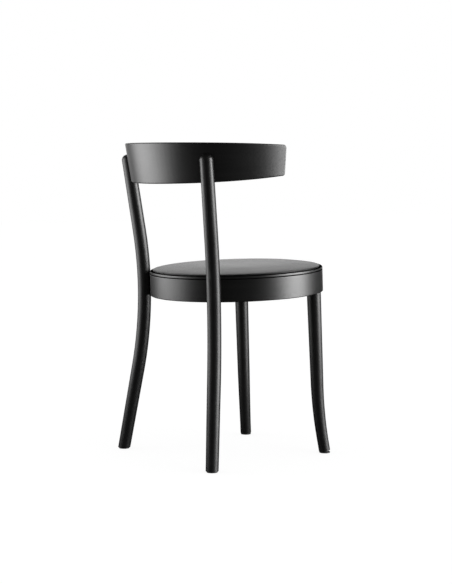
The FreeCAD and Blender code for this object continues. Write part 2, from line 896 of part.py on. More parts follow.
def rear_leg_screws():
    body = new_body("rear_leg_screws")
    for side, spin in REAR_SPINS.items():
        for number, height in enumerate(leg_screw_heights):
            solid(
                body, "AdditiveCylinder", f"head_{side}_{number}",
                leg_screw_place(spin, height, S.leg_screw_sink),
                Radius=S.leg_head / 2,
                Height=S.leg_head_height,
            )
            solid(
                body, "AdditiveCylinder", f"shank_{side}_{number}",
                leg_screw_place(spin, height, S.leg_screw_sink),
                Radius=S.leg_screw / 2,
                Height=S.ring_wall + S.leg_screw_bite - S.leg_screw_sink,
            )


def front_leg_screws():
    body = new_body("front_leg_screws")
    for side, spin in FRONT_SPINS.items():
        solid(
            body, "AdditiveCylinder", f"head_{side}", lock_screw_place(spin, NONE),
            Radius=S.lock_head / 2,
            Height=S.lock_head_height,
        )
        solid(
            body, "AdditiveCylinder", f"shank_{side}", lock_screw_place(spin, NONE),
            Radius=S.lock_screw / 2,
            Height=S.lock_screw_length,
        )


def seat_screws():
    body = new_body("seat_screws")
    middle = ring_radius - S.ring_wall / 2
    head_height = ring_bottom + S.seat_screw_sink
    head = solid(
        body, "AdditiveCylinder", "head", upright(head_height, middle),
        Radius=S.seat_head / 2,
        Height=S.seat_head_height,
    )
    shank = solid(
        body, "AdditiveCylinder", "shank", upright(head_height, middle),
        Radius=S.seat_screw / 2,
        Height=S.ring_top + S.seat_screw_bite - head_height,
    )
    four_round(body, "four_screws", [head, shank])


def foot_spots():
    """Where each foot stands: its sideways and its backward place on top of the glides."""
    spots = {}
    feet = {
        "rear": (rear_foot_radius, rear_foot_height, S.rear_angle, ONE),
        "front": (front_foot_radius, front_foot_height, S.front_angle, as_size(-1)),
    }
    for name, (radius, height, angle, backward) in feet.items():
        level = radius * cosine(angle) * backward * cosine(S.chair_lean_angle)
        back = setback + level + height * sine(S.chair_lean_angle)
        spots[f"{name}_left"] = (radius * sine(angle), back)
        spots[f"{name}_right"] = (-(radius * sine(angle)), back)
    return spots


def level_body(label):
    body = doc.addObject("PartDesign::Body", f"{label}_body")
    body.Label = label
    body.AllowCompound = True
    return body


def foot_glides():
    """Plastic discs under the feet, each bored and sunk for its nail."""
    body = level_body("foot_glides")
    sketch = new_sketch(body, "discs", "XY_Plane")
    for spot in foot_spots().values():
        draw_circle(sketch, spot, S.glide_diameter / 2)
    discs = feature(body, "Pad", "disc_pad", sketch, Length=S.glide_height)
    doc.recompute()
    round_off(body, discs, "worn_edge", S.glide_edge, circle_at(S.glide_diameter / 2, NONE))
    for name, (sideways, back) in foot_spots().items():
        solid(
            body, "SubtractiveCylinder", f"nail_bore_{name}", upright(NONE, sideways, back),
            Radius=S.nail_diameter / 2 + S.joint_gap,
            Height=S.glide_height * 2,
        )
        solid(
            body, "SubtractiveCylinder", f"nail_sink_{name}", upright(NONE, sideways, back),
            Radius=S.nail_diameter + S.joint_gap,
            Height=S.glide_height / 2,
        )


def glide_nails():
    body = level_body("glide_nails")
    for name, (sideways, back) in foot_spots().items():
        solid(
            body, "AdditiveCylinder", f"head_{name}",
            upright(S.glide_height / 4, sideways, back),
            Radius=S.nail_diameter,
            Height=S.glide_height / 4,
        )
        solid(
            body, "AdditiveCylinder", f"shank_{name}",
            upright(S.glide_height / 4, sideways, back),
            Radius=S.nail_diameter / 2,
            Height=S.glide_height * 3 / 4 + S.nail_length,
        )


seat_ring()
seat_plate()
seat_foam()
seat_cover()
for leg_side in ("left", "right"):
    rear_leg(leg_side)
    front_leg(leg_side)
backrest()
backrest_screws()
backrest_plugs()
rear_leg_screws()
front_leg_screws()
seat_screws()
foot_glides()
glide_nails()
doc.recompute()

for item in doc.Objects:
    if "Invalid" in item.State or "Error" in item.State:
        raise RuntimeError(f"{item.Label} ({item.Name}) failed: {item.State}")

bodies = [item for item in doc.Objects if item.TypeId == "PartDesign::Body"]
for body in bodies:
    if body.Shape.isNull() or not body.Shape.isValid():
        raise RuntimeError(f"{body.Label} has no sound shape")

outer = Part.makeCompound([body.Shape for body in bodies]).optimalBoundingBox(False)
for body in bodies:
    print(f"{body.Label}: {len(body.Shape.Solids)} solids, {body.Shape.Volume:.0f} mm3")
    body.Shape.exportStep(os.path.join("parts", f"{body.Label}.step"))
print(f"overall {outer.XLength:.1f} x {outer.YLength:.1f} x {outer.ZLength:.1f} mm")
print(f"middle {outer.Center.x:.2f}, {outer.Center.y:.2f}, floor {outer.ZMin:.2f}")
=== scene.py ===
# %% [markdown]
# # A black bentwood bistro chair
# The rigid pieces come from the construction model, already at their real size and place.
# This script gives each of them its finish, makes the padded leather seat as a piece of its
# own, and sets up a plain studio. Everything is in metres: +Z is up, and -Y is the way that
# a sitter looks.

# %% Load the frame
import json
import math

import bpy
from mathutils import Matrix, Vector

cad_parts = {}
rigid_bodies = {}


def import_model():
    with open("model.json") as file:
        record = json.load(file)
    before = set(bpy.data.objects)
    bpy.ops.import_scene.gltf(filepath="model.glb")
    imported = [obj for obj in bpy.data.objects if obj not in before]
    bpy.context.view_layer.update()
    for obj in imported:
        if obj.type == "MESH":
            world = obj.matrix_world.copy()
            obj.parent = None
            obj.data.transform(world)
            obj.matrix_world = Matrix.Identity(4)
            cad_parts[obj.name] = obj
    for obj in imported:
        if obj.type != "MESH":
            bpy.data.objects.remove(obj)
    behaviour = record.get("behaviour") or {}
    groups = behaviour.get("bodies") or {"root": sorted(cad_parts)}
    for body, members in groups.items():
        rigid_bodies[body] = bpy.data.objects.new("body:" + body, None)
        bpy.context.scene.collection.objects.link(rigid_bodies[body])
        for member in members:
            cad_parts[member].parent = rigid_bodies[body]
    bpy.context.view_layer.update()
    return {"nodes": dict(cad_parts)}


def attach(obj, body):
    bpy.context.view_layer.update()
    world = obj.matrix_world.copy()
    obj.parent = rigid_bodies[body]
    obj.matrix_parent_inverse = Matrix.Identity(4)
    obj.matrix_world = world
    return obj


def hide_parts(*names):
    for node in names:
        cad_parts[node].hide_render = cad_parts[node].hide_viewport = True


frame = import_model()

MM = 0.001
nodes = frame["nodes"]


def deselect_all():
    for thing in bpy.context.scene.objects:
        thing.select_set(False)


deselect_all()
print("pieces in the frame:", ", ".join(sorted(nodes)))

# %% [markdown]
# ## The camera
# It stands behind the sitter's right shoulder, a little above the seat, and looks slightly
# down through a long lens, so that the legs stay nearly parallel. The picture is 452 by 584,
# taller than wide, so the lens is given for its height. The chair stands a little off the
# picture's middle, and turning the camera by a small part of a degree does that.

# %% Place the camera
PICTURE_HEIGHT = 584
FOCAL_PIXELS = 1521.3
SENSOR_HEIGHT = 36.0
CAMERA_BEARING = math.radians(232.85)
CAMERA_REACH = 3.712
CAMERA_HEIGHT = 0.712
CAMERA_TURN = math.radians(0.381)
CAMERA_TILT = math.radians(4.94)
SEAT_MIDDLE_Y = -0.03074


def round_the_chair(bearing, distance, height):
    """A place at this angle round the seat, counted from the chair's front."""
    return Vector((
        math.sin(bearing) * distance,
        -math.cos(bearing) * distance + SEAT_MIDDLE_Y,
        height,
    ))


camera_data = bpy.data.cameras.new("camera")
camera_data.sensor_fit = "VERTICAL"
camera_data.sensor_height = SENSOR_HEIGHT
camera_data.lens = FOCAL_PIXELS * SENSOR_HEIGHT / PICTURE_HEIGHT
camera = bpy.data.objects.new("camera", camera_data)
bpy.context.scene.collection.objects.link(camera)
camera.location = round_the_chair(CAMERA_BEARING, CAMERA_REACH, CAMERA_HEIGHT)
camera.rotation_euler = (math.radians(90) - CAMERA_TILT, 0, CAMERA_BEARING + CAMERA_TURN)
bpy.context.scene.camera = camera
print("lens", round(camera_data.lens, 2), "mm")

# %% [markdown]
# ## Writing materials as sums
# A shader tree is arithmetic on values that change over a surface. The small class below
# wraps one output of a node, so that `1 - pores * 0.3` adds the Math nodes by itself. Every
# other node comes from one method, which sets the node up first and then feeds its sockets.

# %% Helpers for node materials
# Painted shade: a dull dark diffuse colour that stands in for the shade in the joints of the
# ring and plate.
PAINTED_JOINT_SHADE = (0.004, 0.004, 0.004, 1)


class Signal:
    """One value that changes over a surface."""

    def __init__(self, finish, socket):
        self.finish = finish
        self.socket = socket

    def math(self, operation, other=0.0, swapped=False):
        first, second = (other, self) if swapped else (self, other)
        return self.finish.node("Math", {"operation": operation}, {0: first, 1: second})

    def __add__(self, other):
        return self.math("ADD", other)

    def __radd__(self, other):
        return self.math("ADD", other, True)

    def __sub__(self, other):
        return self.math("SUBTRACT", other)

    def __rsub__(self, other):
        return self.math("SUBTRACT", other, True)

    def __mul__(self, other):
        return self.math("MULTIPLY", other)

    def __rmul__(self, other):
        return self.math("MULTIPLY", other, True)

    def __truediv__(self, other):
        return self.math("DIVIDE", other)

    def __rtruediv__(self, other):
        return self.math("DIVIDE", other, True)

    def __pow__(self, other):
        return self.math("POWER", other)


class Finish:
    """One material and the nodes that make it."""

    def __init__(self, name):
        self.material = bpy.data.materials.new(name)
        self.material.use_nodes = True
        self.tree = self.material.node_tree
        self.tree.nodes.clear()

    def node(self, kind, settings=None, inputs=None, output=0):
        """Adds a node: its settings come first, then its sockets' values or links."""
        made = self.tree.nodes.new(f"ShaderNode{kind}")
        for key, value in (settings or {}).items():
            if key == "stops":
                self.set_stops(made.color_ramp, value)
            else:
                setattr(made, key, value)
        for key, value in (inputs or {}).items():
            if isinstance(value, Signal):
                self.tree.links.new(value.socket, made.inputs[key])
            else:
                made.inputs[key].default_value = value
        return Signal(self, made.outputs[output]) if made.outputs else None

    def set_stops(self, ramp, stops):
        while len(ramp.elements) < len(stops):
            ramp.elements.new(1.0)
        for element, (position, value) in zip(ramp.elements, stops):
            element.position = position
            element.color = (value, value, value, 1)

    def place(self):
        """Where a point of the surface is, in metres."""
        return self.node("TexCoord", output="Object")

    def parts_of(self, vector):
        """The X, Y and Z of a vector."""
        return [
            self.node("SeparateXYZ", None, {"Vector": vector}, output)
            for output in ("X", "Y", "Z")
        ]

    def vector(self, x, y, z):
        return self.node("CombineXYZ", None, {"X": x, "Y": y, "Z": z})

    def noise(self, where, scale, detail=3.0, roughness=0.5):
        inputs = {"Vector": where, "Scale": scale, "Detail": detail, "Roughness": roughness}
        return self.node("TexNoise", {"noise_dimensions": "3D"}, inputs)

    def cells(self, where, scale, feature="F1"):
        """How far a point is from the middle, or from the edge, of the cell it is in."""
        inputs = {"Vector": where, "Scale": scale}
        return self.node("TexVoronoi", {"feature": feature}, inputs, "Distance")

    def ramp(self, value, *stops):
        return self.node("ValToRGB", {"stops": stops}, {"Fac": value})

    def between(self, dark, light, share):
        """A colour between two, by a share from 0 to 1."""
        inputs = {"Factor": share, 6: (*dark, 1), 7: (*light, 1)}
        return self.node("Mix", {"data_type": "RGBA"}, inputs, 2)

    def bump(self, height, depth, under=None):
        """A relief in which a height of 1 stands this many metres proud."""
        inputs = {"Height": height, "Distance": depth, "Strength": 1.0}
        if under:
            inputs["Normal"] = under
        return self.node("Bump", None, inputs)

    def surface(self, painted_shade=None, **inputs):
        """Ends in a Principled shader, whose sockets are named with underscores. Where the
        share of painted shade is 1, there is no gloss, only the shade of a joint painted in as
        a dull dark."""
        named = {key.replace("_", " "): value for key, value in inputs.items()}
        shader = self.node("BsdfPrincipled", None, named)
        if painted_shade:
            # The painted shade of a joint: a dull dark diffuse mixed in over the gloss.
            dark = self.node("BsdfDiffuse", None, {"Color": PAINTED_JOINT_SHADE})
            shader = self.node("MixShader", None, {0: painted_shade, 1: shader, 2: dark})
        self.node("OutputMaterial", None, {"Surface": shader})
        return self.material


# %% [markdown]
# ## The chair's own upright frame
# The whole chair leans back by two degrees on its level feet. Grain and ply lines follow the
# bent wood, so their patterns are laid out in the chair's own frame, where the seat ring is
# level and its axis is straight up. Two sums undo the lean for every point of a surface.

# %% Undo the lean
LEAN = math.radians(2.13)
AXIS_FOOT_Y = -0.04727
RING_RADIUS = 0.211


def upright_place(finish):
    """A point's sideways, backward and upward place in the chair's own frame."""
    sideways, back, up = finish.parts_of(finish.place())
    back = back - AXIS_FOOT_Y
    level_back = back * math.cos(LEAN) - up * math.sin(LEAN)
    level_up = back * math.sin(LEAN) + up * math.cos(LEAN)
    return sideways, level_back, level_up


def round_an_axis(finish, sideways, back, axis_back=0.0):
    """The radius and the angle of a point round an upright axis."""
    from_axis = back - axis_back
    radius = (sideways * sideways + from_axis * from_axis).math("SQRT")
    angle = sideways.math("ARCTAN2", from_axis)
    return radius, angle


print("the chair leans back by", round(math.degrees(LEAN), 2), "degrees")

# %% [markdown]
# ## Black lacquered beech
# The real chair is beech, stained and then sprayed with a satin black lacquer. What shows is
# not colour but gloss: broad soft highlights, faintly broken by the wood's pores, which run
# along the grain. The grain could be an image, but a noise stretched sixty times along the
# grain is sharp at any distance. On a leg it runs up the leg. On the bent ring and on the
# moulded backrest it runs round, so there the pattern is laid out on the angle. Shoes and
# mops rub the legs dull towards the floor, which a rougher finish in patches shows. In the
# joint between the ring and the plate on it, the shade of the groove is painted in as a fine
# dark line: there the gloss gives way to a painted dull dark.

# %% Make the lacquers
BLACK_STAIN = (0.0035, 0.0035, 0.0037)
BROWNER_STAIN = (0.0075, 0.0072, 0.0070)
GRAIN_STRETCH = 60.0
PORE_SCALE = 1100.0
PORE_STOPS = ((0.40, 0.0), (0.60, 1.0))
PORE_DEPTH = 0.02 * MM
PORE_DULLING = 0.03
FLECK_SCALE = 110.0
SPRAY_SCALE = 220.0
SPRAY_DEPTH = 0.03 * MM
HANDLED_SCALE = 9.0
HANDLED_SPREAD = 0.12
SATIN = 0.36
LACQUER_INDEX = 1.5
LEG_SATIN = 0.39
LEG_INDEX = 1.43
SCUFF_HEIGHT = 0.25
SCUFF_SCALE = 60.0
SCUFF_STOPS = ((0.35, 0.4), (0.65, 1.0))
SCUFF_DULLING = 0.05
FADE_OUT = ((0.0, 1.0), (1.0, 0.0))
NOISE_MIDDLE = 0.5
RING_TOP = 444 * MM
JOINT_REACH = 1.7 * MM
JOINT_STOPS = ((0.6, 1.0), (1.0, 0.0))


def lacquered(finish, grain, ply_relief=None, satin=SATIN, index=LACQUER_INDEX, painted_shade=None):
    """A satin black lacquer over the grain that the place of the pattern gives."""
    fibres = finish.noise(grain, PORE_SCALE, detail=2.0, roughness=0.6)
    pores = finish.ramp(fibres, *PORE_STOPS)
    flecks = finish.noise(grain, FLECK_SCALE)
    sprayed = finish.noise(finish.place(), SPRAY_SCALE, detail=2.0)
    handled = finish.noise(finish.place(), HANDLED_SCALE, detail=4.0, roughness=0.6)
    uneven = (handled - NOISE_MIDDLE) * HANDLED_SPREAD
    relief = finish.bump(sprayed, SPRAY_DEPTH, finish.bump(pores, PORE_DEPTH, ply_relief))
    return finish.surface(
        Base_Color=finish.between(BLACK_STAIN, BROWNER_STAIN, flecks),
        Roughness=satin + uneven + (1 - pores) * PORE_DULLING,
        Normal=relief,
        IOR=index,
        painted_shade=painted_shade,
    )


def leg_lacquer():
    finish = Finish("lacquered_leg")
    sideways, back, up = upright_place(finish)
    low = finish.ramp(up / SCUFF_HEIGHT, *FADE_OUT)
    patches = finish.noise(finish.place(), SCUFF_SCALE, detail=4.0, roughness=0.7)
    rubbed = finish.ramp(patches, *SCUFF_STOPS)
    grain = finish.vector(sideways, back, up / GRAIN_STRETCH)
    satin = LEG_SATIN + low * rubbed * SCUFF_DULLING
    return lacquered(finish, grain, satin=satin, index=LEG_INDEX)


def painted_shade_at_joint(finish, up, level):
    """1 in the joint at a level, where the shade of the groove is painted in, and 0 away from
    it.
    """
    away = (up - level).math("ABSOLUTE") / JOINT_REACH
    return finish.ramp(away, *JOINT_STOPS)


def ring_lacquer():
    finish = Finish("lacquered_ring")
    sideways, back, up = upright_place(finish)
    radius, angle = round_an_axis(finish, sideways, back)
    along = angle * (RING_RADIUS / GRAIN_STRETCH)
    grain = finish.vector(along, radius, up)
    # Painted shade in the joint between the ring and the plate.
    return lacquered(finish, grain, painted_shade=painted_shade_at_joint(finish, up, RING_TOP))


leg_black = leg_lacquer()
ring_black = ring_lacquer()
print("lacquers:", leg_black.name, ring_black.name)

# %% [markdown]
# ## Plywood under the lacquer
# The backrest and the seat plate are plywood. On their faces the lacquer looks like that on
# the legs, but along the sawn edges the thin veneers stand out as fine lines, because end
# grain soaks up more lacquer than long grain. Each line follows one sheet of veneer, so the
# pattern is a wave on the depth below the face. On the faces that depth does not change, and
# so no mask is needed to keep the lines to the edges. The plate has painted shade in the
# joint below it, to the ring, and in the one above it, where the leather goes into its groove.

# %% Make the plywood's lacquer
VENEER = 1.2 * MM
VENEER_DEPTH = 0.05 * MM
BAND_AXIS_BACK = 17.4 * MM
BAND_RADIUS = 245.7 * MM
BAND_TOP = 763.7 * MM
BAND_SLOPE = math.radians(7.83)
BAND_SATIN = 0.37
BAND_INDEX = 1.52
PLATE_TOP = 451 * MM


def veneer_lines(finish, depth):
    """The relief of the veneers on a sawn edge, from the depth below the face."""
    wave = (depth * (2 * math.pi / VENEER)).math("SINE")
    zero_to_one = wave * 0.5 + 0.5
    return finish.bump(zero_to_one, VENEER_DEPTH)


def backrest_lacquer():
    finish = Finish("lacquered_backrest")
    sideways, back, up = upright_place(finish)
    radius, angle = round_an_axis(finish, sideways, back, BAND_AXIS_BACK)
    face = BAND_RADIUS - (BAND_TOP - up) * math.tan(BAND_SLOPE)
    depth = (face - radius) * math.cos(BAND_SLOPE)
    along = angle * (BAND_RADIUS / GRAIN_STRETCH)
    grain = finish.vector(along, radius, up)
    relief = veneer_lines(finish, depth)
    return lacquered(finish, grain, relief, satin=BAND_SATIN, index=BAND_INDEX)


def plate_lacquer():
    finish = Finish("lacquered_plate")
    sideways, back, up = upright_place(finish)
    grain = finish.vector(sideways / GRAIN_STRETCH, back, up)
    # Painted shade in the joints below the plate and above it, at the leather's groove.
    painted_joint_shades = painted_shade_at_joint(finish, up, RING_TOP) + painted_shade_at_joint(finish, up, PLATE_TOP)
    return lacquered(finish, grain, veneer_lines(finish, PLATE_TOP - up), painted_shade=painted_joint_shades)


backrest_black = backrest_lacquer()
plate_black = plate_lacquer()
print("plywood:", backrest_black.name, plate_black.name, "with", VENEER / MM, "mm veneers")

# %% [markdown]
# ## The small finishes
# Zinc-plated steel for the screws and nails is a metal whose crystals catch the light in
# slightly different ways. The glides under the feet are moulded black plastic, duller than
# the lacquer, with the fine spark texture of a mould.

# %% Make the metal and the plastic
DARK_ZINC = (0.30, 0.31, 0.33)
LIGHT_ZINC = (0.46, 0.46, 0.45)
CRYSTAL_SCALE = 700.0
CRYSTAL_DEPTH = 0.02 * MM
ZINC_ROUGHNESS = 0.26
ZINC_SPREAD = 0.2
DARK_PLASTIC = (0.012, 0.012, 0.012)
LIGHT_PLASTIC = (0.022, 0.022, 0.022)
SPARK_SCALE = 1500.0
SPARK_DEPTH = 0.04 * MM
PLASTIC_ROUGHNESS = 0.45
PLASTIC_SPREAD = 0.15


def zinc_plate():
    finish = Finish("zinc_plate")
    spots = finish.noise(finish.place(), CRYSTAL_SCALE, detail=4.0, roughness=0.6)
    return finish.surface(
        Base_Color=finish.between(DARK_ZINC, LIGHT_ZINC, spots),
        Metallic=1.0,
        Roughness=ZINC_ROUGHNESS + spots * ZINC_SPREAD,
        Normal=finish.bump(spots, CRYSTAL_DEPTH),
    )


def moulded_plastic():
    finish = Finish("moulded_plastic")
    spark = finish.noise(finish.place(), SPARK_SCALE, detail=2.0)
    return finish.surface(
        Base_Color=finish.between(DARK_PLASTIC, LIGHT_PLASTIC, spark),
        Roughness=PLASTIC_ROUGHNESS + spark * PLASTIC_SPREAD,
        Normal=finish.bump(spark, SPARK_DEPTH),
    )


steel = zinc_plate()
plastic = moulded_plastic()
print("small finishes:", steel.name, plastic.name)

# %% [markdown]
# ## Dressing the construction's own pieces
# Each piece keeps its mesh and only gets a finish. Nothing is moved.

# %% Dress the pieces
DRESS = {
    leg_black: ("rear_leg_left", "rear_leg_right", "front_leg_left", "front_leg_right"),
    ring_black: ("seat_ring", "backrest_plugs"),
    backrest_black: ("backrest",),
    plate_black: ("seat_plate",),
    steel: (
        "backrest_screws", "rear_leg_screws", "front_leg_screws", "seat_screws", "glide_nails",
    ),
    plastic: ("foot_glides",),
}
for material, names in DRESS.items():
    for name in names:
        nodes[name].data.materials.clear()
        nodes[name].data.materials.append(material)
    print(material.name, "on", ", ".join(names))

# %% [markdown]
# ## The padded seat: its outline
# The seat is a round block of foam under one piece of smooth black leather. The leather is
# pulled down over the edge and tucked into a groove in the plate. It could be lathed in one
# go, but leather over foam does not have a turned surface: it is a skin that pushes outward.
# So only its outline is drawn here, and spun round into a closed block with a nearly flat
# top. The next step blows it up.
#
# The outline starts as a plane merged to one point, which is then extruded from place to
# place. Above the groove it is pinched in, then bulges out, and from there it runs inward as
# part of an ellipse, up to the shoulder where the loose top begins. One curve for the whole
# edge leaves no kink for the highlight to catch on.

# %% Spin the pad
TUCK_RADIUS = 202.6 * MM
TUCK_DEPTH = 3.4 * MM
LEATHER = 1.4 * MM
PAD_CLEAR = 0.15 * MM
PINCH_RADIUS = 201.2 * MM
PINCH_HEIGHT = 0.3 * MM
BULGE_RADIUS = 203.5 * MM
BULGE_HEIGHT = 1.8 * MM
PAD_TOP = 11.8 * MM
SHOULDER_RADIUS = 150 * MM
START_CROWN = 1.5 * MM
BULGE_STEPS = 4
ROLL_STEPS = 18
TOP_RINGS = 24
PAD_SEGMENTS = 144
WELD = 0.05 * MM
ROLL_TURN = math.acos(SHOULDER_RADIUS / BULGE_RADIUS)
ROLL_TOP = BULGE_HEIGHT + (PAD_TOP - BULGE_HEIGHT) * math.sin(ROLL_TURN)


def pad_outline():
    """The pad's half section, as radius and height above the plate, from middle to middle."""
    inside = TUCK_RADIUS - LEATHER
    points = [(0.0, PAD_CLEAR), (inside * 0.5, PAD_CLEAR), (inside, PAD_CLEAR)]
    points += [(inside, -TUCK_DEPTH), (TUCK_RADIUS, -TUCK_DEPTH), (TUCK_RADIUS, 0.0)]
    for step in range(BULGE_STEPS):
        turn = step / BULGE_STEPS * math.pi / 2
        points.append((
            PINCH_RADIUS + (BULGE_RADIUS - PINCH_RADIUS) * math.sin(turn),
            BULGE_HEIGHT - (BULGE_HEIGHT - PINCH_HEIGHT) * math.cos(turn),
        ))
    for step in range(ROLL_STEPS + 1):
        turn = step / ROLL_STEPS * ROLL_TURN
        points.append((
            BULGE_RADIUS * math.cos(turn),
            BULGE_HEIGHT + (PAD_TOP - BULGE_HEIGHT) * math.sin(turn),
        ))
    for ring in range(1, TOP_RINGS + 1):
        radius = SHOULDER_RADIUS * (1 - ring / TOP_RINGS)
        rise = START_CROWN * (1 - (radius / SHOULDER_RADIUS) ** 2)
        points.append((radius, ROLL_TOP + rise))
    return points


deselect_all()
bpy.ops.mesh.primitive_plane_add(size=1)
pad = bpy.context.active_object
pad.name = "padded_seat"
bpy.ops.object.mode_set(mode="EDIT")
bpy.ops.mesh.select_all(action="SELECT")
bpy.ops.mesh.merge(type="CENTER")
START = (0.0, 0.0)
last = START
for point in pad_outline():
    move = {"value": (point[0] - last[0], 0, point[1] - last[1])}
    if last == START:
        bpy.ops.transform.translate(**move)
    else:
        bpy.ops.mesh.extrude_region_move(TRANSFORM_OT_translate=move)
    last = point
bpy.ops.mesh.select_all(action="SELECT")
bpy.ops.mesh.spin(steps=PAD_SEGMENTS, angle=2 * math.pi, center=(0, 0, 0), axis=(0, 0, 1))
bpy.ops.mesh.select_all(action="SELECT")
bpy.ops.mesh.remove_doubles(threshold=WELD)
bpy.ops.mesh.normals_make_consistent(inside=False)
bpy.ops.object.mode_set(mode="OBJECT")
print("pad before the air:", len(pad.data.polygons), "faces")

# %% [markdown]
# ## The padded seat: blown up like a cushion
# Cloth with air pressure inside is how a cushion gets its crown. Everything from the shoulder
# down is pinned, as leather that is pulled tight over an edge is, and the loose top is pressed
# up, as by the foam. The pins let go over a narrow ring, so that no crease forms there.

# %% Press the leather up
PAD_FRAMES = 20
HOLD_REACH = 10 * MM
TOP_SKIN = 1 * MM
AIR_PRESSURE = 4.0
LEATHER_TENSION = 40
LEATHER_BENDING = 4
CLOTH_QUALITY = 6
held = pad.vertex_groups.new(name="held")
for vertex in pad.data.vertices:
    radius = math.hypot(vertex.co.x, vertex.co.y)
    loose = (SHOULDER_RADIUS + HOLD_REACH - radius) / (2 * HOLD_REACH)
    loose = max(0.0, min(1.0, loose))
    hold = 1.0 - loose if vertex.co.z > ROLL_TOP - TOP_SKIN else 1.0
    held.add([vertex.index], hold, "REPLACE")
cloth = pad.modifiers.new("leather", "CLOTH")
cloth.settings.vertex_group_mass = "held"
cloth.settings.use_pressure = True
cloth.settings.uniform_pressure_force = AIR_PRESSURE
cloth.settings.effector_weights.gravity = 0
cloth.settings.tension_stiffness = LEATHER_TENSION
cloth.settings.bending_stiffness = LEATHER_BENDING
cloth.settings.quality = CLOTH_QUALITY
cloth.point_cache.frame_end = PAD_FRAMES
for step in range(1, PAD_FRAMES + 1):
    bpy.context.scene.frame_set(step)
deselect_all()
pad.select_set(True)
bpy.context.view_layer.objects.active = pad
bpy.ops.object.modifier_apply(modifier=cloth.name)
bpy.context.scene.frame_set(1)
highest = max(vertex.co.z for vertex in pad.data.vertices)
print("crown before it is scaled:", round((highest - ROLL_TOP) / MM, 2), "mm")

# %% [markdown]
# ## The padded seat: its final size
# The cloth's own crown is scaled to the real one. Only the part above the shoulder changes,
# and so the shape that the pressure gave stays. Towards the front, where thighs press it down,
# the pad has lost a little height, as on any seat that has been used. The dip eases in and out
# along an S curve. Then the pad takes the chair's lean and its place on the plate, and a
# subdivision smooths what is left of the steps.

# %% Fit the crown and seat the pad
FRONT_WEAR = 1.4 * MM
WEAR_TURN = math.radians(20)
WEAR_START = 140 * MM
WEAR_LENGTH = 60 * MM
CREASE_ANGLE = math.radians(50)
crown_scale = (PAD_TOP - ROLL_TOP) / (highest - ROLL_TOP)
for vertex in pad.data.vertices:
    if vertex.co.z > ROLL_TOP:
        vertex.co.z = ROLL_TOP + (vertex.co.z - ROLL_TOP) * crown_scale
    ahead = -vertex.co.y * math.cos(WEAR_TURN) - vertex.co.x * math.sin(WEAR_TURN)
    forward = max(0.0, min(1.0, (ahead - WEAR_START) / WEAR_LENGTH))
    eased = forward * forward * (3 - 2 * forward)
    upper = min(1.0, max(0.0, vertex.co.z - PINCH_HEIGHT) / ROLL_TOP)
    vertex.co.z -= FRONT_WEAR * eased * upper
plate_middle = Vector((
    0.0,
    AXIS_FOOT_Y + PLATE_TOP * math.sin(LEAN),
    PLATE_TOP * math.cos(LEAN),
))
pad.data.transform(Matrix.Translation(plate_middle) @ Matrix.Rotation(-LEAN, 4, "X"))
pad.vertex_groups.clear()
smoother = pad.modifiers.new("smoother", "SUBSURF")
smoother.levels = 1
smoother.render_levels = 1
deselect_all()
pad.select_set(True)
bpy.context.view_layer.objects.active = pad
bpy.ops.object.modifier_apply(modifier=smoother.name)
bpy.ops.object.shade_smooth_by_angle(angle=CREASE_ANGLE)
deselect_all()
print("pad:", len(pad.data.polygons), "faces, crown", PAD_TOP / MM, "mm above the plate")

# %% [markdown]
# ## Smooth black leather
# Seat leather has a skin of small rounded pebbles with creases between them, and a satin
# finish. The pebbles are cells, a millimetre or so across, whose edges are pressed in. A slow
# noise on the angle and the radius adds the faint pull lines of a stretched skin. Where
# sitting has polished it, the middle of the seat shines a little more than its edge. The
# finished pad stands for the construction's leather and foam, which are hidden.

# %% Make the leather
PEBBLE = 1.1 * MM
PEBBLE_DEPTH = 0.05 * MM
CREASE_STOPS = ((0.0, 0.0), (0.35, 1.0))
WARP_SCALE = 300.0
PULL_SCALE = 4.0
PULLS_ROUND = 2.0
PULLS_ACROSS = 10.0
PULL_DEPTH = 0.35 * MM
TONE_SCALE = 25.0
POLISH_STOPS = ((0.35, 0.0), (0.95, 1.0))
DARK_LEATHER = (0.006, 0.006, 0.006)
LIGHT_LEATHER = (0.012, 0.0118, 0.0115)
LEATHER_SATIN = 0.36
LEATHER_INDEX = 1.5
EDGE_DULLING = 0.06
CREASE_DULLING = 0.10
TONE_SPREAD = 0.08


def seat_leather():
    finish = Finish("seat_leather")
    sideways, back, up = upright_place(finish)
    radius, angle = round_an_axis(finish, sideways, back)
    warped = finish.noise(finish.place(), WARP_SCALE, detail=2.0)
    where = finish.vector(sideways + warped * PEBBLE, back + warped * PEBBLE, up)
    from_edge = finish.cells(where, 1 / PEBBLE, "DISTANCE_TO_EDGE")
    pebbles = finish.ramp(from_edge, *CREASE_STOPS)
    stretched = finish.vector(angle * PULLS_ROUND, radius * PULLS_ACROSS, up)
    pull = finish.noise(stretched, PULL_SCALE)
    tone = finish.noise(finish.place(), TONE_SCALE)
    unpolished = finish.ramp(radius / RING_RADIUS, *POLISH_STOPS)
    relief = finish.bump(pull, PULL_DEPTH)
    worn = LEATHER_SATIN + unpolished * EDGE_DULLING
    uneven = (tone - NOISE_MIDDLE) * TONE_SPREAD
    return finish.surface(
        Base_Color=finish.between(DARK_LEATHER, LIGHT_LEATHER, tone),
        Roughness=worn + (1 - pebbles) * CREASE_DULLING + uneven,
        Normal=finish.bump(pebbles, PEBBLE_DEPTH, relief),
        IOR=LEATHER_INDEX,
    )


pad.data.materials.clear()
pad.data.materials.append(seat_leather())
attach(pad, "root")
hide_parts("seat_cover", "seat_foam")
print("leather on", pad.name)

# %% [markdown]
# ## The studio floor
# The chair stands on a plain white floor in front of a white background. Both are white to
# the camera by their own colour, and not by more light, and the floor keeps a part of the
# light that falls on it, so that the chair's soft shadow stays. A black chair is drawn by
# what it mirrors: mirrored in the lacquer, the floor and the room are dark.

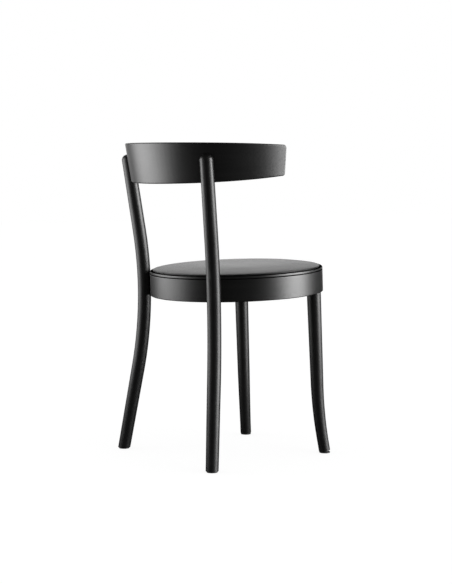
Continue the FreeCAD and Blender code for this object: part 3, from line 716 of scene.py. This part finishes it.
# %% Lay the floor
FLOOR_SIZE = 24.0
FLOOR_DROP = 0.3 * MM
FLOOR_GLOW = 0.80
FLOOR_WHITE = 1.12
FLOOR_MIRRORED = (0.04, 0.04, 0.04, 1)
PAPER_SCALE = 3.0
DARK_PAPER = (0.88, 0.88, 0.88)
LIGHT_PAPER = (0.92, 0.92, 0.92)
WHITE = (1, 1, 1, 1)


def white_floor():
    finish = Finish("white_floor")
    paper = finish.noise(finish.place(), PAPER_SCALE, detail=2.0)
    tint = finish.between(DARK_PAPER, LIGHT_PAPER, paper)
    lit = finish.node("BsdfDiffuse", None, {"Color": tint})
    glow = finish.node("Emission", None, {"Color": WHITE, "Strength": FLOOR_WHITE})
    dark = finish.node("BsdfDiffuse", None, {"Color": FLOOR_MIRRORED})
    seen = finish.node("LightPath", output="Is Camera Ray")
    mirrored = finish.node("LightPath", output="Is Glossy Ray")
    paper_white = finish.node("MixShader", None, {0: seen * FLOOR_GLOW, 1: lit, 2: glow})
    whole = finish.node("MixShader", None, {0: mirrored, 1: paper_white, 2: dark})
    finish.node("OutputMaterial", None, {"Surface": whole})
    return finish.material


bpy.ops.mesh.primitive_plane_add(size=FLOOR_SIZE, location=(0, 0, -FLOOR_DROP))
floor = bpy.context.active_object
floor.name = "floor"
floor.data.materials.append(white_floor())
deselect_all()
print("floor:", FLOOR_SIZE, "m across,", FLOOR_DROP / MM, "mm under the feet")

# %% [markdown]
# ## The room's own light
# The world has one level for each kind of ray. To the camera it is white, it lights dull
# surfaces evenly from all round, and in the lacquer it is nearly black, so that only the soft
# boxes draw highlights. The Standard view keeps white as white.

# %% Light the world
WORLD_LEVELS = {"mirrored": 0.03, "Is Diffuse Ray": 0.6, "Is Camera Ray": 1.0}
world = bpy.data.worlds.new("studio")
bpy.context.scene.world = world
world.use_nodes = True
tree = world.node_tree
tree.nodes.clear()
path = tree.nodes.new("ShaderNodeLightPath")
backdrop = None
for kind, strength in WORLD_LEVELS.items():
    shade = tree.nodes.new("ShaderNodeBackground")
    shade.inputs["Color"].default_value = WHITE
    shade.inputs["Strength"].default_value = strength
    if backdrop is None:
        backdrop = shade
        continue
    mix = tree.nodes.new("ShaderNodeMixShader")
    tree.links.new(path.outputs[kind], mix.inputs[0])
    tree.links.new(backdrop.outputs[0], mix.inputs[1])
    tree.links.new(shade.outputs[0], mix.inputs[2])
    backdrop = mix
world_out = tree.nodes.new("ShaderNodeOutputWorld")
tree.links.new(backdrop.outputs[0], world_out.inputs["Surface"])
bpy.context.scene.view_settings.view_transform = "Standard"
print("world levels:", WORLD_LEVELS)

# %% [markdown]
# ## The lamps
# Two large lamps, one at each side, light the floor and the chair at a plain level. Each is
# set by how bright it makes a white card, which says more than its power. They aren't
# mirrored in the lacquer, because the soft boxes are.

# %% Place the lamps
LAMP_AIM = 0.4


def face_the_chair(thing, bearing, distance, height, aim_height):
    """Stands something at this angle from the camera's bearing, turned to the chair."""
    thing.location = round_the_chair(CAMERA_BEARING + math.radians(bearing), distance, height)
    aim = Vector((0, SEAT_MIDDLE_Y, aim_height)) - thing.location
    thing.rotation_euler = aim.to_track_quat("-Z", "Y").to_euler()


def lamp(name, bearing, distance, height, size, level):
    """A soft lamp. At level 1 it lights a white card that faces it to about white."""
    data = bpy.data.lights.new(name, "AREA")
    data.shape = "SQUARE"
    data.size = size
    data.energy = level * math.pi * distance * distance
    box = bpy.data.objects.new(name, data)
    bpy.context.scene.collection.objects.link(box)
    face_the_chair(box, bearing, distance, height, LAMP_AIM)
    box.visible_glossy = False
    box.visible_camera = False
    print(name, "at", bearing, "degrees from the camera, level", level)


lamp("lamp_right", bearing=60, distance=2.6, height=2.4, size=1.8, level=0.5)
lamp("lamp_left", bearing=-100, distance=2.6, height=2.2, size=1.8, level=0.3)

# %% [markdown]
# ## The soft boxes
# What draws the long highlights on the black wood are the soft boxes: a tall one at the
# right, a lower and nearer one at the left and a faint one behind the chair. Because the left
# one is near, it draws a brighter line on the legs that stand next to it than on the others.
# They are glowing sheets that only a mirroring surface sees, so they do not flood the floor
# with light. Like a real soft box, each is brightest in the middle. The falloff says how fast
# it dims towards its upright edges, and the end falloff how fast towards top and bottom.

# %% Place the soft boxes
def soft_box(name, bearing, distance, low, high, width, radiance, falloff, end_falloff):
    """A glowing sheet that only glossy surfaces see."""
    deselect_all()
    bpy.ops.mesh.primitive_plane_add(size=1)
    sheet = bpy.context.active_object
    sheet.name = name
    sheet.scale = (width, high - low, 1)
    bpy.ops.object.transform_apply(location=False, rotation=False, scale=True)
    middle = (low + high) / 2
    face_the_chair(sheet, bearing, distance, middle, middle)
    finish = Finish(name)
    across, along = finish.parts_of(finish.place())[:2]
    across = across / (width / 2)
    along = along / ((high - low) / 2)
    glow = (1 - across * across) ** falloff * (1 - along * along) ** end_falloff
    colour = finish.vector(glow, glow, glow)
    shine = finish.node("Emission", None, {"Color": colour, "Strength": radiance})
    finish.node("OutputMaterial", None, {"Surface": shine})
    sheet.data.materials.append(finish.material)
    for kind in ("camera", "diffuse", "shadow", "transmission", "volume_scatter"):
        setattr(sheet, f"visible_{kind}", False)
    deselect_all()
    print(name, "at", bearing, "degrees from the camera,", width, "m wide")


soft_box(
    "soft_box_right", bearing=79.5, distance=2.3, low=-0.1, high=2.2, width=2.4,
    radiance=20.5, falloff=1.5, end_falloff=0.4,
)
soft_box(
    "soft_box_left", bearing=-91.5, distance=1.15, low=0.1, high=1.25, width=1.55,
    radiance=7.7, falloff=1.4, end_falloff=0.7,
)
soft_box(
    "soft_box_behind", bearing=180, distance=3.2, low=0.3, high=3.2, width=4.0,
    radiance=1.68, falloff=0.5, end_falloff=0.0,
)

# %% [markdown]
# ## The end
# The picture's pieces are as large as the construction's. Last, the scene is brought up to
# date.

# %% Finish
bpy.context.view_layer.update()
